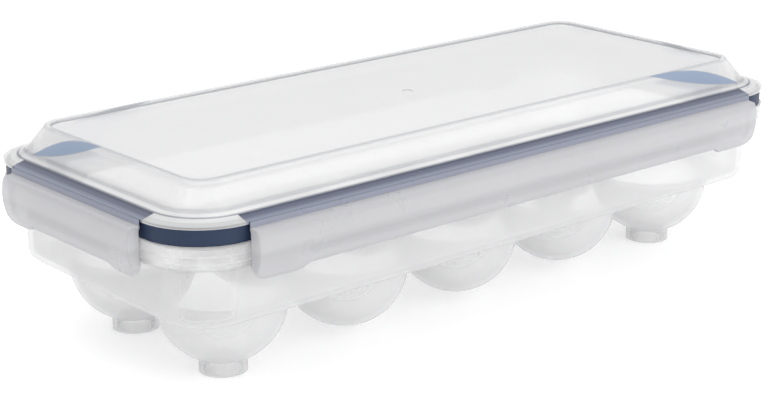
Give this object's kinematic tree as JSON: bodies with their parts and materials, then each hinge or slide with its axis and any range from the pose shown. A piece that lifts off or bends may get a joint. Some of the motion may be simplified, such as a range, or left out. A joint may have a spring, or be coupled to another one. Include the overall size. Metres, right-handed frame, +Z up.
{
  "type": "egg keeper",
  "caption": "Translucent egg storage box with round cups on ring feet, a lift-off lid with a seal ring, and a flip latch on each side.",
  "frame": {"origin": "middle of the tray in plan, on the plane that the four ring feet stand on", "axes": "+X along the length of the box, +Y to the back across its width, +Z up"},
  "size_m": [0.2822, 0.1282, 0.071],
  "materials": {
    "clear_plastic": "translucent polypropylene, lightly frosted",
    "latch_plastic": "translucent polypropylene, frosted",
    "seal": "satin silicone rubber, navy blue"
  },
  "bodies": {
    "tray": {"tray": "clear_plastic"},
    "lid": {"lid": "clear_plastic", "gasket": "seal", "hinge_front": "latch_plastic", "hinge_back": "latch_plastic", "hinge_left": "latch_plastic", "hinge_right": "latch_plastic"},
    "latch_front": {"latch_front": "latch_plastic"},
    "latch_back": {"latch_back": "latch_plastic"},
    "latch_left": {"latch_left": "latch_plastic"},
    "latch_right": {"latch_right": "latch_plastic"}
  },
  "joints": [
    {"name": "lid_lift", "type": "slide", "parent": "tray", "child": "lid", "axis": [0, 0, 1], "range_m": [0, 0.06]},
    {"name": "front_latch_flip", "type": "hinge", "parent": "lid", "child": "latch_front", "pos_m": [0, -0.0598, 0.0603], "axis": [-1, 0, 0], "range_deg": [0, 120]},
    {"name": "back_latch_flip", "type": "hinge", "parent": "lid", "child": "latch_back", "pos_m": [0, 0.0598, 0.0603], "axis": [1, 0, 0], "range_deg": [0, 120]},
    {"name": "left_latch_flip", "type": "hinge", "parent": "lid", "child": "latch_left", "pos_m": [-0.1368, 0, 0.0603], "axis": [0, 1, 0], "range_deg": [0, 120]},
    {"name": "right_latch_flip", "type": "hinge", "parent": "lid", "child": "latch_right", "pos_m": [0.1368, 0, 0.0603], "axis": [0, -1, 0], "range_deg": [0, 120]}
  ]
}
